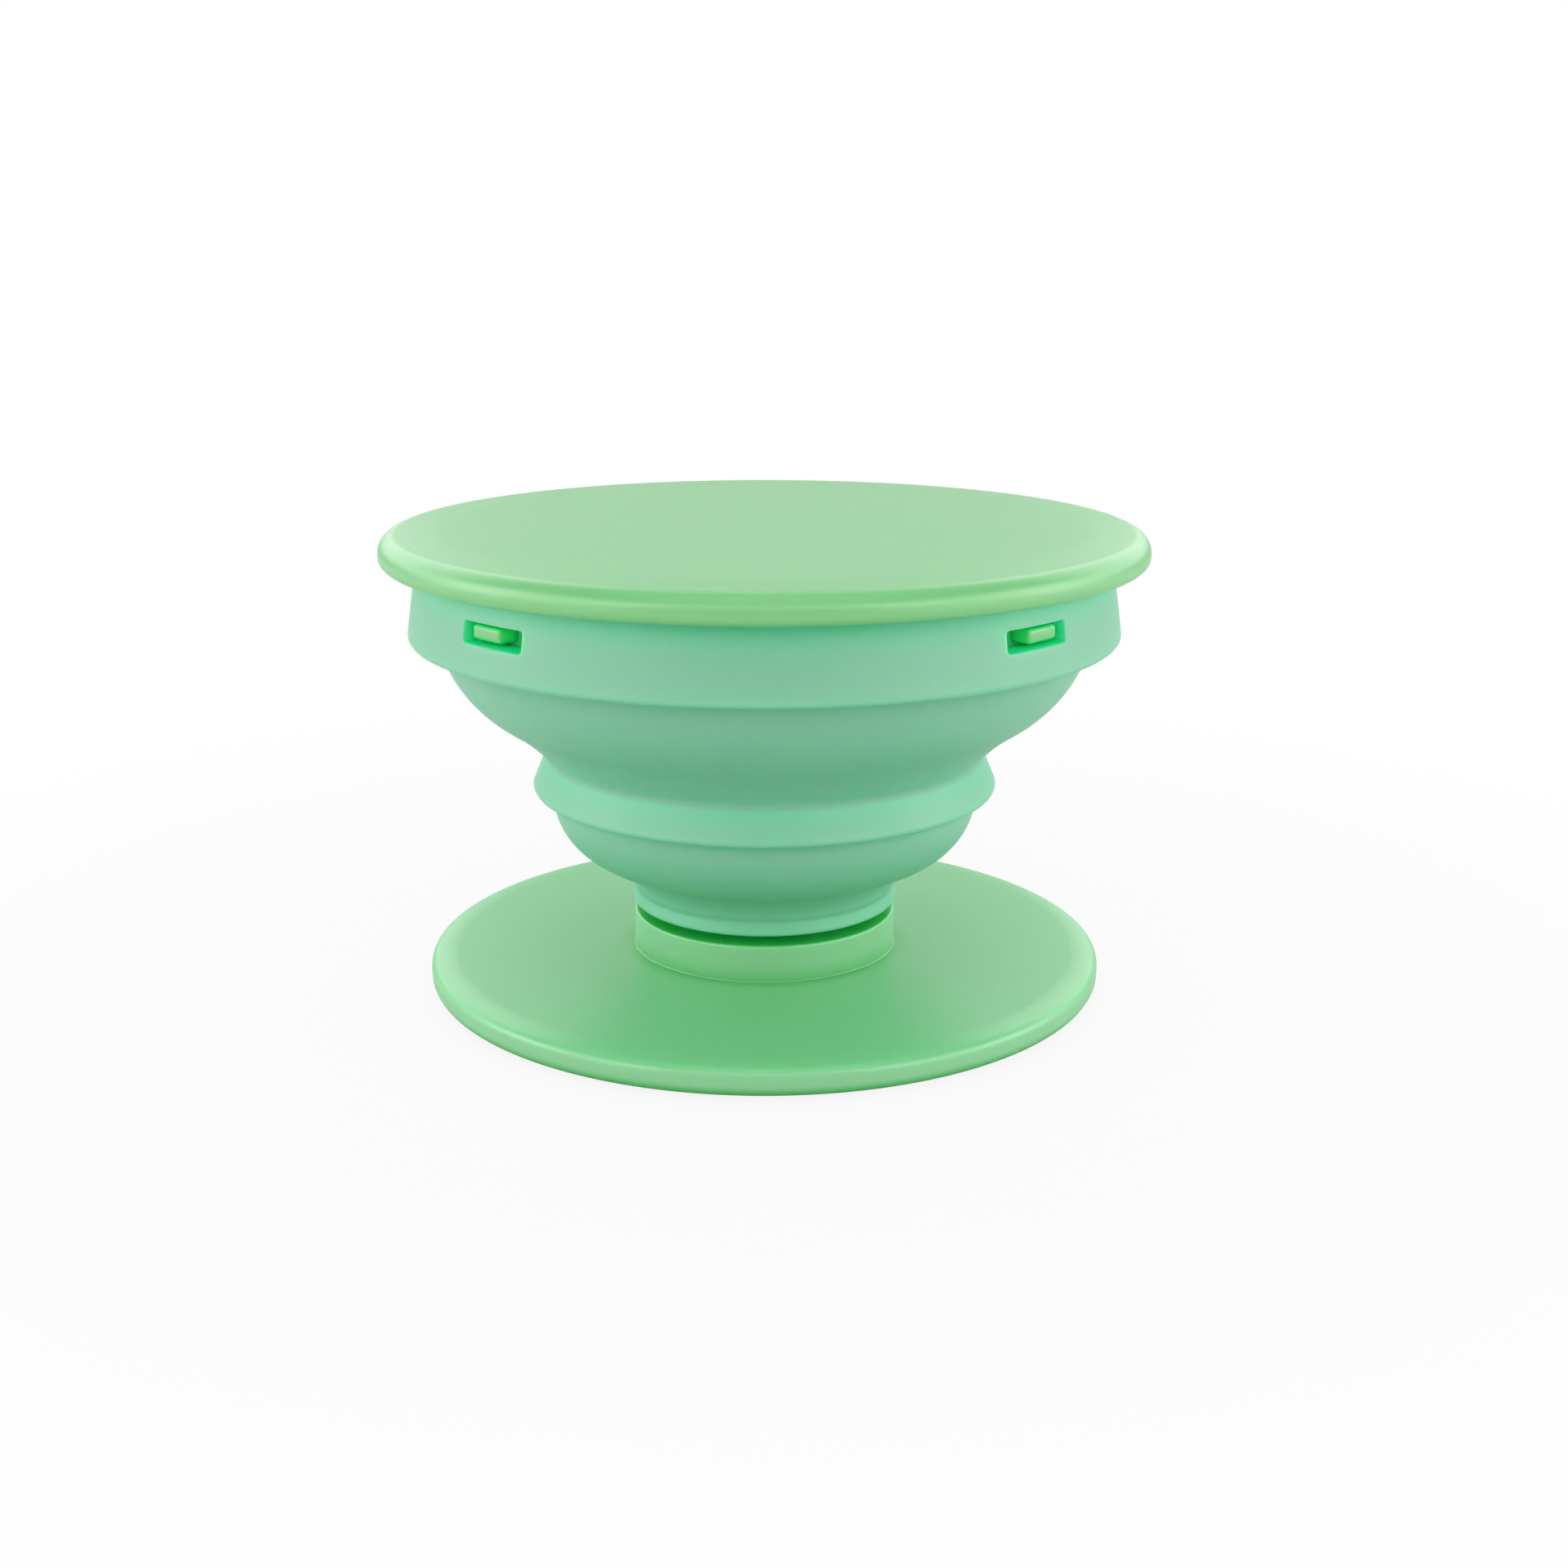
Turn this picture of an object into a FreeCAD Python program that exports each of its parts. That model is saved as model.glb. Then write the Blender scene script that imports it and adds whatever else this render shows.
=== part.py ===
import FreeCAD
import Part
import math
import os

# Collapsible stick-on phone stand, shown open.
# Millimetres, +Z up, origin at the centre of the sticky pad's lower face, front towards -Y.

# Button: a round top plate with a snap skirt under it
DISC_RADIUS = 20.0
DISC_THICKNESS = 1.62
DISC_TOP_ROUND = 0.95
DISC_BOTTOM_ROUND = 0.5
DISC_OVERHANG = 1.27
SEAT_GAP = 0.05
SKIRT_GAP = 0.12
SKIRT_WALL = 1.0
SKIRT_FLOOR_GAP = 0.55

# Accordion, upper stage: the ring that holds the button and the bowl below it
UPPER_RING_HEIGHT = 3.9
UPPER_RING_TAPER = 0.56
UPPER_RING_WALL = 0.98
UPPER_RING_FLOOR = 0.5
UPPER_RING_OVERHANG = 1.54
UPPER_BOWL_HEIGHT = 6.36
UPPER_BOWL_REACH = 5.48
UPPER_TURN_HEIGHT = 2.1
UPPER_TURN_REACH = 2.5
UPPER_BOWL_BULGE = 0.53
UPPER_BOWL_DIP = 0.1

# Accordion, lower stage: the middle ring, the small bowl and the foot ring
LOWER_RING_HEIGHT = 2.07
LOWER_RING_FLARE = 0.87
LOWER_RING_OVERHANG = 1.16
LOWER_BOWL_HEIGHT = 5.52
LOWER_BOWL_REACH = 4.19
LOWER_TURN_HEIGHT = 1.68
LOWER_TURN_REACH = 1.4
LOWER_BOWL_BULGE = 0.85
LOWER_BOWL_DIP = 0.35
FOOT_HEIGHT = 0.83
FOOT_GAP = 0.54

# Accordion walls and edges
WEB_WALL = 0.6
RING_EDGE_ROUND = 0.16
VALLEY_ROUND = 0.5
FOOT_EDGE_ROUND = 0.18

# Accordion plug: snaps under the collar's lip and turns in it
RUNNING_GAP = 0.08
PLUG_WALL = 1.0
PLUG_EDGE_ROUND = 0.15

# Windows in the upper ring and the button's snap tabs that show in them
WINDOW_ANGLE = 45.8
WINDOW_WIDTH = 4.36
WINDOW_HEIGHT = 1.05
WINDOW_ROUND = 0.18
TAB_WIDTH = 2.12
TAB_LEVEL_GAP = 0.16
TAB_SIDE_GAP = 0.44
TAB_RECESS = 0.06
TAB_ROUND = 0.2
RELIEF_WIDTH = 1.0
RELIEF_MARGIN = 0.1
RELIEF_ROOT = 0.4

# Base platform: a round plate with a collar that takes the accordion's plug
BASE_RADIUS = 18.17
BASE_FLOOR = 0.86
BASE_RIM = 1.25
BASE_TOP_ROUND = 0.4
BASE_BOTTOM_ROUND = 0.65
COLLAR_INSET = 0.14
COLLAR_HEIGHT = 1.99
COLLAR_WALL = 1.1
COLLAR_EDGE_ROUND = 0.45
COLLAR_ROOT_ROUND = 0.2
LIP_REACH = 0.45
LIP_HEIGHT = 0.7
LIP_EDGE_ROUND = 0.2

# Sticky pad, sunk into the underside of the base
PAD_THICKNESS = 1.0
PAD_PROUD = 0.2
PAD_EDGE_GAP = 0.1
PAD_EDGE_ROUND = 0.1

# Levels, stacked up from the pad's lower face
base_bottom = PAD_PROUD
base_top = PAD_THICKNESS + BASE_FLOOR
collar_top = base_top + COLLAR_HEIGHT
lip_bottom = collar_top - LIP_HEIGHT
foot_bottom = collar_top + FOOT_GAP
foot_top = foot_bottom + FOOT_HEIGHT
lower_ring_bottom = foot_top + LOWER_BOWL_HEIGHT
upper_valley = lower_ring_bottom + LOWER_RING_HEIGHT
upper_ring_bottom = upper_valley + UPPER_BOWL_HEIGHT
ring_floor = upper_ring_bottom + UPPER_RING_FLOOR
upper_ring_top = upper_ring_bottom + UPPER_RING_HEIGHT
window_level = (ring_floor + upper_ring_top) / 2
skirt_bottom = ring_floor + SKIRT_FLOOR_GAP
disc_bottom = upper_ring_top + SEAT_GAP
disc_top = disc_bottom + DISC_THICKNESS

# Radii, stepped in from the button's edge to the plug in the base
ring_radius = DISC_RADIUS - DISC_OVERHANG
ring_top_radius = ring_radius - UPPER_RING_TAPER
ring_bore = ring_top_radius - UPPER_RING_WALL
skirt_radius = ring_bore - SKIRT_GAP
skirt_bore = skirt_radius - SKIRT_WALL
tab_radius = ring_top_radius - TAB_RECESS
upper_bowl_radius = ring_radius - UPPER_RING_OVERHANG
middle_valley = upper_bowl_radius - UPPER_BOWL_REACH
middle_ring_radius = middle_valley + LOWER_RING_FLARE
lower_bowl_radius = middle_ring_radius - LOWER_RING_OVERHANG
foot_radius = lower_bowl_radius - LOWER_BOWL_REACH
collar_radius = foot_radius - COLLAR_INSET
bore_radius = collar_radius - COLLAR_WALL
lip_radius = bore_radius - LIP_REACH
bead_radius = bore_radius - RUNNING_GAP
neck_radius = lip_radius - RUNNING_GAP
plug_bore = neck_radius - PLUG_WALL
recess_radius = BASE_RADIUS - BASE_RIM
pad_radius = recess_radius - PAD_EDGE_GAP

CENTRE = FreeCAD.Vector(0, 0, 0)
AXIS = FreeCAD.Vector(0, 0, 1)

# Share of a short edge that its two roundings may take up together
ROUNDING_SHARE = 0.98


def corner(radius, height, rounding=0.0, bulge=0.0):
    """A profile corner, its rounding, and how far the edge after it bows to its right."""
    return FreeCAD.Vector(radius, 0, height), rounding, bulge


def half_angle(before, point, after):
    """Half of the angle between the two edges that meet at a corner."""
    return (before - point).getAngle(after - point) / 2


def rounding_reaches(corners):
    """How far each corner's rounding runs along its edges, less where an edge is too short."""
    places = [place for place, rounding, bulge in corners]
    following = places[1:] + places[:1]
    before = places[-1:] + places[:-1]
    wanted = []
    for index, (place, rounding, bulge) in enumerate(corners):
        wanted.append(rounding / math.tan(half_angle(before[index], place, following[index])))
    fitted = list(wanted)
    for index, place in enumerate(places):
        after = (index + 1) % len(places)
        both = wanted[index] + wanted[after]
        room = place.distanceToPoint(following[index]) * ROUNDING_SHARE
        if both > room:
            fitted[index] = min(fitted[index], wanted[index] * room / both)
            fitted[after] = min(fitted[after], wanted[after] * room / both)
    return fitted


def round_off(before, point, after, reach):
    """Start, middle and end of the arc that rounds a corner between two straight edges."""
    to_before = (before - point).normalize()
    to_after = (after - point).normalize()
    half = half_angle(before, point, after)
    stand_off = reach / math.cos(half) - reach * math.tan(half)
    middle = point + (to_before + to_after).normalize() * stand_off
    return point + to_before * reach, middle, point + to_after * reach


def straight_or_bowed(start, end, bulge):
    """Edge from start to end, bowed to the right of its direction by bulge."""
    if bulge == 0:
        return Part.LineSegment(start, end).toShape()
    along = (end - start).normalize()
    right = FreeCAD.Vector(along.z, 0, -along.x)
    middle = (start + end) * 0.5 + right * bulge
    return Part.Arc(start, middle, end).toShape()


def revolved(corners):
    """Solid turned about Z from a closed profile of corners."""
    reaches = rounding_reaches(corners)
    count = len(corners)
    arcs = []
    for index, (point, rounding, bulge) in enumerate(corners):
        before = corners[index - 1][0]
        after = corners[(index + 1) % count][0]
        arcs.append(round_off(before, point, after, reaches[index]))
    edges = []
    for index, (point, rounding, bulge) in enumerate(corners):
        start, middle, end = arcs[index]
        if rounding > 0:
            edges.append(Part.Arc(start, middle, end).toShape())
        next_start = arcs[(index + 1) % count][0]
        edges.append(straight_or_bowed(end, next_start, bulge))
    profile = Part.Face(Part.Wire(edges))
    return profile.revolve(CENTRE, AXIS, 360)


def radial_block(inner, outer, width, bottom, top):
    """Block along +X from an inner to an outer radius, centred on the X axis."""
    return Part.makeBox(outer - inner, width, top - bottom, FreeCAD.Vector(inner, -width / 2, bottom))


def turned(shape, angle):
    """The shape turned about Z."""
    return shape.rotated(CENTRE, AXIS, angle)


def in_four_quarters(angle):
    """The angle mirrored about the X and Y axes into all four quarters."""
    return [angle, 180 - angle, 180 + angle, 360 - angle]


def make_adhesive_pad():
    return revolved([
        corner(0, 0),
        corner(pad_radius, 0, PAD_EDGE_ROUND),
        corner(pad_radius, PAD_THICKNESS),
        corner(0, PAD_THICKNESS),
    ])


def make_base_platform():
    return revolved([
        corner(0, PAD_THICKNESS),
        corner(recess_radius, PAD_THICKNESS),
        corner(recess_radius, base_bottom),
        corner(BASE_RADIUS, base_bottom, BASE_BOTTOM_ROUND),
        corner(BASE_RADIUS, base_top, BASE_TOP_ROUND),
        corner(collar_radius, base_top, COLLAR_ROOT_ROUND),
        corner(collar_radius, collar_top, COLLAR_EDGE_ROUND),
        corner(lip_radius, collar_top, LIP_EDGE_ROUND),
        corner(lip_radius, lip_bottom),
        corner(bore_radius, lip_bottom),
        corner(bore_radius, base_top),
        corner(0, base_top),
    ])


def accordion_plug():
    """Corners of the snap plug and the foot ring, from the plug's bore outwards and up."""
    plug_bottom = base_top + RUNNING_GAP
    bead_top = lip_bottom - RUNNING_GAP
    return [
        corner(plug_bore, plug_bottom),
        corner(bead_radius, plug_bottom, PLUG_EDGE_ROUND),
        corner(bead_radius, bead_top, PLUG_EDGE_ROUND),
        corner(neck_radius, bead_top),
        corner(neck_radius, foot_bottom),
        corner(foot_radius, foot_bottom, FOOT_EDGE_ROUND),
    ]


def accordion_outside():
    """Corners of the two bowls and two rings, going up the outside."""
    lower_turn = foot_radius + LOWER_TURN_REACH
    upper_turn = middle_valley + UPPER_TURN_REACH
    return [
        corner(foot_radius, foot_top, bulge=-LOWER_BOWL_DIP),
        corner(lower_turn, foot_top + LOWER_TURN_HEIGHT, bulge=LOWER_BOWL_BULGE),
        corner(lower_bowl_radius, lower_ring_bottom),
        corner(middle_ring_radius, lower_ring_bottom, RING_EDGE_ROUND),
        corner(middle_valley, upper_valley, VALLEY_ROUND, bulge=-UPPER_BOWL_DIP),
        corner(upper_turn, upper_valley + UPPER_TURN_HEIGHT, bulge=UPPER_BOWL_BULGE),
        corner(upper_bowl_radius, upper_ring_bottom),
        corner(ring_radius, upper_ring_bottom, RING_EDGE_ROUND),
        corner(ring_top_radius, upper_ring_top),
    ]


def accordion_inside():
    """Corners of the hollow, going down the inside one web wall away from the outside."""
    slant = WEB_WALL * math.sqrt(0.5)
    upper_turn = middle_valley + UPPER_TURN_REACH - slant
    lower_turn = foot_radius + LOWER_TURN_REACH - slant
    foot_floor = foot_top + slant
    return [
        corner(ring_bore, upper_ring_top),
        corner(ring_bore, ring_floor),
        corner(upper_bowl_radius - WEB_WALL, ring_floor, bulge=-UPPER_BOWL_BULGE),
        corner(upper_turn, upper_valley + UPPER_TURN_HEIGHT + slant, bulge=UPPER_BOWL_DIP),
        corner(middle_valley - WEB_WALL, upper_valley + slant / 2),
        corner(lower_bowl_radius - WEB_WALL, lower_ring_bottom + slant / 2, bulge=-LOWER_BOWL_BULGE),
        corner(lower_turn, foot_top + LOWER_TURN_HEIGHT + slant, bulge=LOWER_BOWL_DIP),
        corner(foot_radius - WEB_WALL, foot_floor),
        corner(plug_bore, foot_floor),
    ]


def make_window(angle):
    """Cutter for one window: a slot through the ring's wall with softened corners."""
    slot = radial_block(
        skirt_radius,
        ring_radius + UPPER_RING_WALL,
        WINDOW_WIDTH,
        window_level - WINDOW_HEIGHT / 2,
        window_level + WINDOW_HEIGHT / 2,
    )
    radial_edges = [edge for edge in slot.Edges if edge.BoundBox.YLength + edge.BoundBox.ZLength < WINDOW_ROUND]
    return turned(slot.makeFillet(WINDOW_ROUND, radial_edges), angle)


def make_accordion():
    bellows = revolved(accordion_plug() + accordion_outside() + accordion_inside())
    return bellows.cut([make_window(angle) for angle in in_four_quarters(WINDOW_ANGLE)])


def make_tab(angle):
    """Snap tab that reaches from the skirt into a window, with softened outer edges."""
    half_height = WINDOW_HEIGHT / 2 - TAB_LEVEL_GAP
    blank = radial_block(
        skirt_radius - SKIRT_WALL / 2,
        ring_radius,
        TAB_WIDTH,
        window_level - half_height,
        window_level + half_height,
    )
    tab = blank.common(Part.makeCylinder(tab_radius, disc_top))
    nose_edges = [edge for edge in tab.Edges if edge.BoundBox.XMin > skirt_radius]
    return turned(tab.makeFillet(TAB_ROUND, nose_edges), angle)


def make_relief_slots(angle):
    """Two cutters that free the skirt beside a tab, so that the tab can spring inwards."""
    slot = radial_block(
        skirt_bore - SKIRT_WALL,
        ring_bore,
        RELIEF_WIDTH,
        skirt_bottom,
        disc_bottom - RELIEF_ROOT,
    )
    offset = TAB_WIDTH / 2 + RELIEF_MARGIN + RELIEF_WIDTH / 2
    turn = math.degrees(offset / skirt_radius)
    return [turned(slot, angle - turn), turned(slot, angle + turn)]


def make_top_button():
    plate = revolved([
        corner(0, disc_bottom),
        corner(skirt_bore, disc_bottom),
        corner(skirt_bore, skirt_bottom),
        corner(skirt_radius, skirt_bottom),
        corner(skirt_radius, disc_bottom),
        corner(DISC_RADIUS, disc_bottom, DISC_BOTTOM_ROUND),
        corner(DISC_RADIUS, disc_top, DISC_TOP_ROUND),
        corner(0, disc_top),
    ])
    # Each tab stands at the end of its window that is nearer the X axis
    tab_offset = WINDOW_WIDTH / 2 - TAB_SIDE_GAP - TAB_WIDTH / 2
    angles = in_four_quarters(WINDOW_ANGLE - math.degrees(tab_offset / tab_radius))
    slots = [slot for angle in angles for slot in make_relief_slots(angle)]
    tabs = [make_tab(angle) for angle in angles]
    return plate.cut(slots).fuse(tabs).removeSplitter()


PIECES = {
    "adhesive_pad": make_adhesive_pad,
    "base_platform": make_base_platform,
    "accordion": make_accordion,
    "top_button": make_top_button,
}

os.makedirs("parts", exist_ok=True)
for name, make in PIECES.items():
    shape = make()
    shape.exportStep(f"parts/{name}.step")
    print(name, len(shape.Solids), shape.isValid(), round(shape.Volume, 2))
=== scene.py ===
import math

import bmesh
import bpy
from bpy.props import FloatProperty, FloatVectorProperty, IntProperty, PointerProperty
from bpy.types import Operator, Panel, PropertyGroup
from mathutils import Matrix, Vector


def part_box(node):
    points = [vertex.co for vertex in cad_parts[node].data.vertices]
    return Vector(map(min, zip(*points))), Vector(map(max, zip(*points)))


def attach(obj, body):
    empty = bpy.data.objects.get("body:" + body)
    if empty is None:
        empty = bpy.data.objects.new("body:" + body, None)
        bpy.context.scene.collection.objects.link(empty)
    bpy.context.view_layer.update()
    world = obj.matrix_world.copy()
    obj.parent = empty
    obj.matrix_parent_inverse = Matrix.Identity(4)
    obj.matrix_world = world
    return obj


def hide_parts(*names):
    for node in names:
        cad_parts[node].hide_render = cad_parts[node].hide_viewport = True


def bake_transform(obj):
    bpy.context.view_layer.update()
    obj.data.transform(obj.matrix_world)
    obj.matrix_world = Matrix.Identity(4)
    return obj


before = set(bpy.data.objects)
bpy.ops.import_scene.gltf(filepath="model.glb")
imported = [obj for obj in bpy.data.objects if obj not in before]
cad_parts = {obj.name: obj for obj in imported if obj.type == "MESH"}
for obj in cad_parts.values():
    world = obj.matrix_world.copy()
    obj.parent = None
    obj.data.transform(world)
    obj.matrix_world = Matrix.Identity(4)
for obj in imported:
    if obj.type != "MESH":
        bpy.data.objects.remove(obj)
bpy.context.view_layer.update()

bl_info = {
    "name": "Folding phone stand",
    "version": (1, 0, 0),
    "blender": (4, 5, 0),
    "location": "3D View > Sidebar > Phone Stand",
    "description": "Builds a stick-on folding phone stand, its finishes and a small white studio",
    "category": "Add Mesh",
}

MM = 0.001
BUTTON_LOW, BUTTON_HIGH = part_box("top_button")
ACCORDION_LOW, ACCORDION_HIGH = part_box("accordion")
BASE_LOW, BASE_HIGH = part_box("base_platform")
PAD_LOW, PAD_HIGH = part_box("adhesive_pad")


def length(name, description, millimetres):
    """A size property whose default is given in millimetres."""
    return FloatProperty(
        name=name, description=description, default=millimetres * MM, min=0.0, unit="LENGTH", precision=5
    )


def level(name, description, metres):
    """A height or radius property whose default comes from the frame, in metres."""
    return FloatProperty(name=name, description=description, default=metres, unit="LENGTH", precision=5)


def angle(name, description, degrees):
    """An angle property whose default is given in degrees."""
    return FloatProperty(name=name, description=description, default=math.radians(degrees), subtype="ANGLE")


def share(name, description, value):
    """A property from 0 to 1."""
    return FloatProperty(
        name=name, description=description, default=value, min=0.0, max=1.0, subtype="FACTOR"
    )


def colour(name, description, red, green, blue):
    """A colour property, in linear light."""
    return FloatVectorProperty(
        name=name, description=description, default=(red, green, blue, 1.0), size=4, min=0.0, max=1.0,
        subtype="COLOR",
    )


def amount(name, description, value):
    """A plain number property that isn't negative."""
    return FloatProperty(name=name, description=description, default=value, min=0.0)


class ButtonSettings(PropertyGroup):
    """Sizes and finish of the round top button"""

    disc_radius: level("Disc radius", "Outer radius of the button's plate", BUTTON_HIGH.x)
    disc_top: level("Disc top", "Height of the plate's upper face", BUTTON_HIGH.z)
    disc_thickness: length("Disc thickness", "Thickness of the plate", 1.62)
    top_round: length("Top rounding", "Rounding of the plate's upper edge", 0.9)
    bottom_round: length("Bottom rounding", "Rounding of the plate's lower edge", 0.5)
    roll_reach: length("Roll reach", "Distance from the edge where the upper face starts to roll down", 3.0)
    roll_drop: length("Roll drop", "How far the upper face rolls down towards the edge", 0.14)
    roll_round: length("Roll rounding", "Rounding where the upper face starts to roll down", 12.0)
    skirt_radius: length("Skirt radius", "Outer radius of the skirt that slips into the accordion", 17.07)
    skirt_wall: length("Skirt wall", "Wall thickness of the skirt", 1.0)
    skirt_bottom: level("Skirt bottom", "Height of the skirt's lower edge", BUTTON_LOW.z)
    tab_angle: angle("Tab angle", "Place of the first snap tab, mirrored into all four quarters", 43.6487)
    tab_width: length("Tab width", "Width of a snap tab", 2.12)
    tab_height: length("Tab height", "Height of a snap tab", 0.73)
    tab_radius: length("Tab reach", "Radius of a snap tab's outer face", 18.11)
    tab_round: length("Tab rounding", "Rounding of a snap tab's outer edges", 0.2)
    relief_width: length("Relief width", "Width of the slots that free the skirt beside a tab", 1.0)
    relief_offset: length("Relief offset", "Distance from a tab's middle to the middle of its slots", 3.7)
    relief_root: length("Relief root", "Skirt left uncut between a slot and the plate", 0.4)
    plastic: colour("Plastic", "Colour of the button's plastic", 0.18, 0.545, 0.205)
    # painted light: upright walls get this paler colour, standing in for the side light they catch
    wall: colour("Wall", "Colour of the upright walls, a little paler than the faces", 0.21, 0.555, 0.215)
    # painted shade and bounce light: gaps and corners take this deeper, brighter green through an ambient
    # occlusion mask
    depth: colour("Depth", "Colour that the plastic takes on in gaps and corners", 0.0, 0.9, 0.22)
    roughness: share("Roughness", "Roughness of the plastic's satin face", 0.34)
    shine: share("Shine", "How strongly the plastic's face mirrors light", 0.97)


class AccordionSettings(PropertyGroup):
    """Sizes and finish of the soft folding stem"""

    ring_radius: level("Upper ring radius", "Radius at the upper ring's lower edge", ACCORDION_HIGH.x)
    ring_top: level("Upper ring top", "Height of the ring's upper edge", ACCORDION_HIGH.z)
    ring_height: length("Upper ring height", "Height of the ring that holds the button", 3.9)
    ring_taper: length("Upper ring taper", "How far the ring leans in towards its top", 0.56)
    ring_wall: length("Upper ring wall", "Wall thickness at the ring's top", 0.98)
    ring_floor: length("Upper ring floor", "Thickness of the floor inside the ring", 0.5)
    ring_overhang: length("Upper ring overhang", "Step from the ring in to the bowl below", 1.54)
    upper_bowl_height: length("Upper bowl height", "Height of the upper bowl", 6.36)
    upper_bowl_reach: length("Upper bowl reach", "How far the upper bowl runs inwards", 5.48)
    upper_turn_height: length("Upper turn height", "Height above the valley where the bowl turns over", 2.1)
    upper_turn_reach: length("Upper turn reach", "Distance from the valley where the bowl turns over", 2.5)
    upper_bulge: length("Upper bowl bulge", "Bow of the bowl's upper part", 0.53)
    upper_dip: length("Upper bowl dip", "Hollow of the bowl's lower part", 0.1)
    middle_height: length("Middle ring height", "Height of the middle ring", 2.07)
    middle_flare: length("Middle ring flare", "How far the middle ring leans out at its lower edge", 0.87)
    middle_overhang: length("Middle ring overhang", "Step from the middle ring in to the small bowl", 1.16)
    lower_bowl_height: length("Lower bowl height", "Height of the small bowl", 5.52)
    lower_bowl_reach: length("Lower bowl reach", "How far the small bowl runs inwards", 4.19)
    lower_turn_height: length("Lower turn height", "Height above the foot where the bowl turns over", 1.68)
    lower_turn_reach: length("Lower turn reach", "Distance from the foot where the bowl turns over", 1.4)
    lower_bulge: length("Lower bowl bulge", "Bow of the small bowl's upper part", 0.85)
    lower_dip: length("Lower bowl dip", "Hollow of the small bowl's lower part", 0.35)
    foot_height: length("Foot height", "Height of the foot ring", 0.83)
    foot_flare: length("Foot flare", "How far the foot ring leans out towards its lower edge", 0.18)
    web_wall: length("Web wall", "Wall thickness of the bowls", 0.6)
    ring_round: length("Ring rounding", "Rounding of the rings' lower edges", 0.3)
    valley_round: length("Valley rounding", "Hollow between the middle ring and the upper bowl", 0.5)
    foot_round: length("Foot rounding", "Rounding of the foot ring's lower edge", 0.18)
    plug_bottom: level("Plug bottom", "Height of the plug's lower face", ACCORDION_LOW.z)
    plug_bead: length("Plug bead", "Radius of the bead that snaps under the collar", 5.91)
    plug_neck: length("Plug neck", "Radius of the neck inside the collar's lip", 5.46)
    plug_bore: length("Plug bore", "Radius of the hole through the plug", 4.46)
    plug_height: length("Plug height", "Height of the snap bead", 1.13)
    window_angle: angle("Window angle", "Place of the first window, mirrored into all four quarters", 45.8)
    window_width: length("Window width", "Width of the windows for the button's tabs", 4.36)
    window_height: length("Window height", "Height of the windows", 1.05)
    window_level: length("Window level", "Height of the windows' middle", 21.37)
    window_round: length("Window rounding", "Rounding of the windows' corners", 0.18)
    rim_round: length("Window rim rounding", "Softening of the windows' outer rim", 0.14)
    elastomer: colour("Elastomer", "Colour of the soft moulding", 0.197, 0.54, 0.347)
    # painted light: upright walls get this paler colour, standing in for the side light they catch
    wall: colour("Wall", "Colour of the upright walls, a little paler than the faces", 0.22, 0.54, 0.355)
    # painted shade and bounce light: gaps and corners take this deeper, brighter green through an ambient
    # occlusion mask
    depth: colour("Depth", "Colour that the soft moulding takes on in gaps and corners", 0.0, 0.88, 0.42)
    roughness: share("Roughness", "Roughness of the matte soft face", 0.48)
    shine: share("Shine", "How strongly the soft face mirrors light", 0.75)


class BaseSettings(PropertyGroup):
    """Sizes and finish of the round base platform"""

    radius: level("Radius", "Outer radius of the platform", BASE_HIGH.x)
    bottom: level("Bottom", "Height of the rim's lower edge", BASE_LOW.z)
    top: length("Top", "Height of the platform's upper face", 1.86)
    top_round: length("Top rounding", "Rounding of the rim's upper edge", 0.5)
    bottom_round: length("Bottom rounding", "Rounding of the rim's lower edge", 0.65)
    roll_reach: length("Roll reach", "Distance from the rim where the upper face starts to roll down", 1.0)
    roll_drop: length("Roll drop", "How far the upper face rolls down towards the rim", 0.2)
    roll_round: length("Roll rounding", "Rounding where the upper face starts to roll down", 4.0)
    recess_radius: length("Recess radius", "Radius of the recess for the sticky pad", 16.92)
    recess_ceiling: level("Recess ceiling", "Height of the recess's flat ceiling", PAD_HIGH.z)
    collar_radius: length("Collar radius", "Outer radius of the collar that takes the plug", 7.09)
    collar_top: level("Collar top", "Height of the collar's upper edge", BASE_HIGH.z)
    collar_round: length("Collar rounding", "Rounding of the collar's upper edge", 0.12)
    root_round: length("Root rounding", "Hollow at the collar's root", 0.08)
    lip_radius: length("Lip radius", "Radius of the lip that holds the plug", 5.54)
    lip_height: length("Lip height", "Height of the lip", 0.7)
    lip_round: length("Lip rounding", "Rounding of the lip's upper edge", 0.2)
    bore_radius: length("Bore radius", "Radius of the bore below the lip", 5.99)
    plastic: colour("Plastic", "Colour of the base's plastic", 0.192, 0.59, 0.262)
    # painted light: upright walls get this paler colour, standing in for the side light they catch
    wall: colour("Wall", "Colour of the upright walls, a little paler than the faces", 0.265, 0.615, 0.32)
    # painted shade: gaps and corners take this darker green through an ambient occlusion mask
    depth: colour("Depth", "Colour that the plastic takes on in gaps and corners", 0.01, 0.5, 0.045)
    roughness: share("Roughness", "Roughness of the plastic's satin face", 0.34)
    shine: share("Shine", "How strongly the plastic's face mirrors light", 0.97)


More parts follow.
